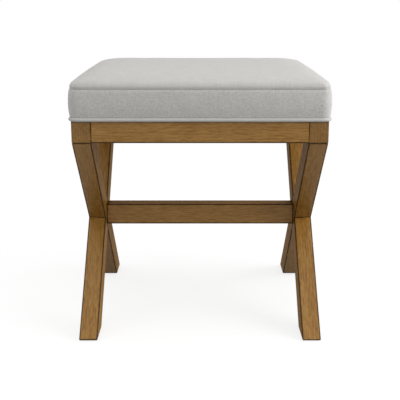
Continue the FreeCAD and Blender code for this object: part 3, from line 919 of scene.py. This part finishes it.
def padding_skin(inset, top_inset, lowest):
    """Levels of one skin of the padding, from its foot up the band and over the roll."""
    lowest_share = (lowest - band_foot) / (seam_level - band_foot)
    shares = np.linspace(max(lowest_share, 0.0), 1.0, 8)[:-1]
    turns, _ = turns_of_even_length(10, inset)
    parts = [np.concatenate(pair) for pair in zip(band_section(shares, inset), roll_section(turns, inset, top_inset))]
    return levels(*parts)


skin = padding_skin(foam_inset, foam_top_inset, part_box("seat_board")[1][2])
rows = len(skin)
over, over_faces = grid_fill(skin[-1], (rows - 1) * columns, rows * columns)
under, under_faces = grid_fill(skin[0], 0, rows * columns + len(over))
foam_points = np.concatenate([skin.reshape(-1, 3), over, under])
foam_faces = np.concatenate([level_faces(rows), over_faces, under_faces[:, ::-1]])
foam_core = piece_from("foam_core", foam_points, foam_faces)
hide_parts("foam_pad")

outer = padding_skin(outer_inset, outer_top_inset, wadding_foot)
inner = padding_skin(inner_inset, inner_top_inset, wadding_foot)[::-1]
rows = len(outer)
over, over_faces = grid_fill(outer[-1], (rows - 1) * columns, 2 * rows * columns)
lining, lining_faces = grid_fill(inner[0], rows * columns, 2 * rows * columns + len(over))
rim = np.arange(columns)
rim_faces = ring_quads(np.stack([(2 * rows - 1) * columns + rim, rim]))
wadding_points = np.concatenate([outer.reshape(-1, 3), inner.reshape(-1, 3), over, lining])
inner_faces = level_faces(rows, rows * columns)
wadding_faces = np.concatenate([level_faces(rows), inner_faces, over_faces, lining_faces[:, ::-1], rim_faces])
wadding_layer = piece_from("wadding_layer", wadding_points, wadding_faces)
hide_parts("wadding")

# %% [markdown]
# ## Dust cloth
# Thin black cloth is stapled over the underside of the board to keep dust out of the padding. It is a flat
# sheet that sags a hair between its staples, worked out as a low wave along its edges.

# %% Dust cloth
dust_cells = 60
sag = 0.0006
sheet_gap = 0.0001
wave_depth, wave_length = 0.00015, 0.075
dust_low, dust_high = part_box("dust_cover")
dust_half = dust_high[0]
line = np.linspace(-dust_half, dust_half, dust_cells + 1)
across, along = np.meshgrid(line, line, indexing="ij")
edge_near = np.maximum(np.abs(across), np.abs(along)) / dust_half
wave = np.sin(across * 2 * math.pi / wave_length) * np.sin(along * 2 * math.pi / wave_length)
slack = sag * (1 - edge_near**2) + wave_depth * wave
dust_points = np.stack([across, along, dust_low[2] + sheet_gap - np.maximum(slack, 0)], axis=2).reshape(-1, 3)
dust_quads = grid_quads(np.arange((dust_cells + 1) ** 2).reshape(dust_cells + 1, dust_cells + 1).T)
dust_cloth = piece_from("dust_cloth", dust_points, dust_quads, dust_points[:, :2][dust_quads])
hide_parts("dust_cover")

# %% [markdown]
# ## Cloth finishes
# The cover is a pale, slightly warm linen in plain weave. Its threads are under a millimetre thick, some fuller
# than others, and the cloth is faintly cloudy over larger areas. A picture of cloth could be repeated over it,
# but two crossed waves on the cloth's own flat places make the weave at its real size and follow the roll. The
# same group with other values makes the welt, the dust cloth and the wadding.

# %% Weave group
weave, given, give = new_group(
    "plain_weave",
    {"Place": "Vector", "Thread": "Float", "Slubs": "Float", "Mottle": "Float", "Pale": "Color", "Shade": "Color"},
    {"Color": "Color", "Height": "Float", "Roughness": "Float"},
)
spot = given["Place"]
per_thread = calculate(weave, "DIVIDE", math.pi, given["Thread"])
flat_place = node(weave, "SeparateXYZ", None, {0: spot}, "X").node.outputs
shift = calculate(weave, "MULTIPLY", cloudiness(weave, spot, (90.0, 90.0, 90.0), seed=1.0, detail=1.0), 1.6)
warp = calculate(weave, "SINE", calculate(weave, "MULTIPLY_ADD", flat_place["X"], per_thread, shift))
weft = calculate(weave, "SINE", calculate(weave, "MULTIPLY_ADD", flat_place["Y"], per_thread, shift))
crossed = calculate(weave, "MULTIPLY", warp, weft)
warp_slub = cloudiness(weave, spot, (1150.0, 40.0, 1.0), seed=4.0, detail=1.0)
weft_slub = cloudiness(weave, spot, (40.0, 1150.0, 1.0), seed=8.0, detail=1.0)
slub = calculate(weave, "SUBTRACT", calculate(weave, "ADD", warp_slub, weft_slub), 1.0)
slub = calculate(weave, "MULTIPLY", slub, given["Slubs"])
tone = calculate(weave, "MULTIPLY_ADD", crossed, 0.16, 0.62)
tone = calculate(weave, "MULTIPLY_ADD", slub, 0.75, tone)
tone = vary(weave, tone, cloudiness(weave, spot, (45.0, 45.0, 45.0), seed=6.0, detail=3.0), 0.5)
tone = vary(weave, tone, cloudiness(weave, spot, (230.0, 260.0, 230.0), seed=9.0), given["Mottle"])
thread_share = node(weave, "Clamp", None, {"Value": tone})
weave.links.new(blend_colours(weave, thread_share, given["Shade"], given["Pale"]), give["Color"])
weave.links.new(calculate(weave, "MULTIPLY_ADD", slub, 0.8, crossed), give["Height"])
weave.links.new(remap(weave, thread_share, 0.2, 0.9, 0.95, 0.82), give["Roughness"])


def cloth_material(name, pale, shade, thread, slubs=1.0, mottle=0.3, slant=0.0, coordinates="UV", **surface_values):
    """Woven cloth: the weave group on the flat cloth places, turned by a slant."""
    material, tree, surface, spot = new_material(name, coordinates, **surface_values)
    place = node(tree, "Mapping", None, {0: spot, 2: (0.0, 0.0, slant)})
    threads = {"Place": place, "Thread": thread, "Slubs": slubs, "Mottle": mottle, "Pale": pale, "Shade": shade}
    cloth = place_group(tree, weave, threads)
    tree.links.new(cloth["Color"], surface["Base Color"])
    tree.links.new(cloth["Roughness"], surface["Roughness"])
    add_bump(tree, surface, cloth["Height"], 0.5, 0.0003)
    return material


# %% Cloth on its pieces
linen = {
    "pale": (0.676, 0.664, 0.640, 1.0), "shade": (0.506, 0.496, 0.473, 1.0), "thread": 0.0008,
    "Specular_IOR_Level": 0.2, "Sheen_Weight": 0.12, "Sheen_Roughness": 0.5,
}
wall_thickness = 0.0008
cover_linen = cloth_material("cover_linen", **linen)
boxing_linen = cloth_material("boxing_linen", mottle=2.0, **linen)
welt_linen = cloth_material("welt_linen", slant=math.radians(45), **linen)
dust_fabric = cloth_material(
    "dust_fabric", (0.035, 0.035, 0.036, 1), (0.018, 0.018, 0.019, 1), 0.0006, slubs=0.5, Specular_IOR_Level=0.2
)
wadding_fleece = cloth_material(
    "wadding_fleece", (0.80, 0.80, 0.78, 1), (0.66, 0.66, 0.64, 1), 0.0031, slubs=2.0,
    coordinates="Object", Specular_IOR_Level=0.1,
)
foam_material, tree, surface, spot = new_material("foam", Specular_IOR_Level=0.1, Roughness=0.9)
cell_walls = cloudiness(tree, spot, (1100.0, 1100.0, 1100.0), seed=3.0)
tree.links.new(blend_colours(tree, cell_walls, (0.62, 0.55, 0.33, 1), (0.80, 0.74, 0.50, 1)), surface["Base Color"])
add_bump(tree, surface, cell_walls, 0.6, 0.0006)

cloth_pieces = (
    (top_panel, cover_linen, "cover_linen", 0.9),
    (boxing_band, boxing_linen, "cover_linen", 0.9),
    (piped_welt, welt_linen, "cover_linen", 1.0),
    (wadding_layer, wadding_fleece, "wadding", 0.8),
    (foam_core, foam_material, "foam", 0.9),
)
for piece, finish, slot, fill in cloth_pieces:
    piece.data.materials.append(finish)
dust_cloth.data.materials.append(dust_fabric)
for piece in (top_panel, boxing_band, piped_welt):
    rounding = piece.modifiers.new("rounding", "SUBSURF")
    rounding.levels = rounding.render_levels = 1
for piece in (top_panel, boxing_band):
    wall = piece.modifiers.new("wall", "SOLIDIFY")
    wall.thickness = wall_thickness
    wall.offset = -1.0
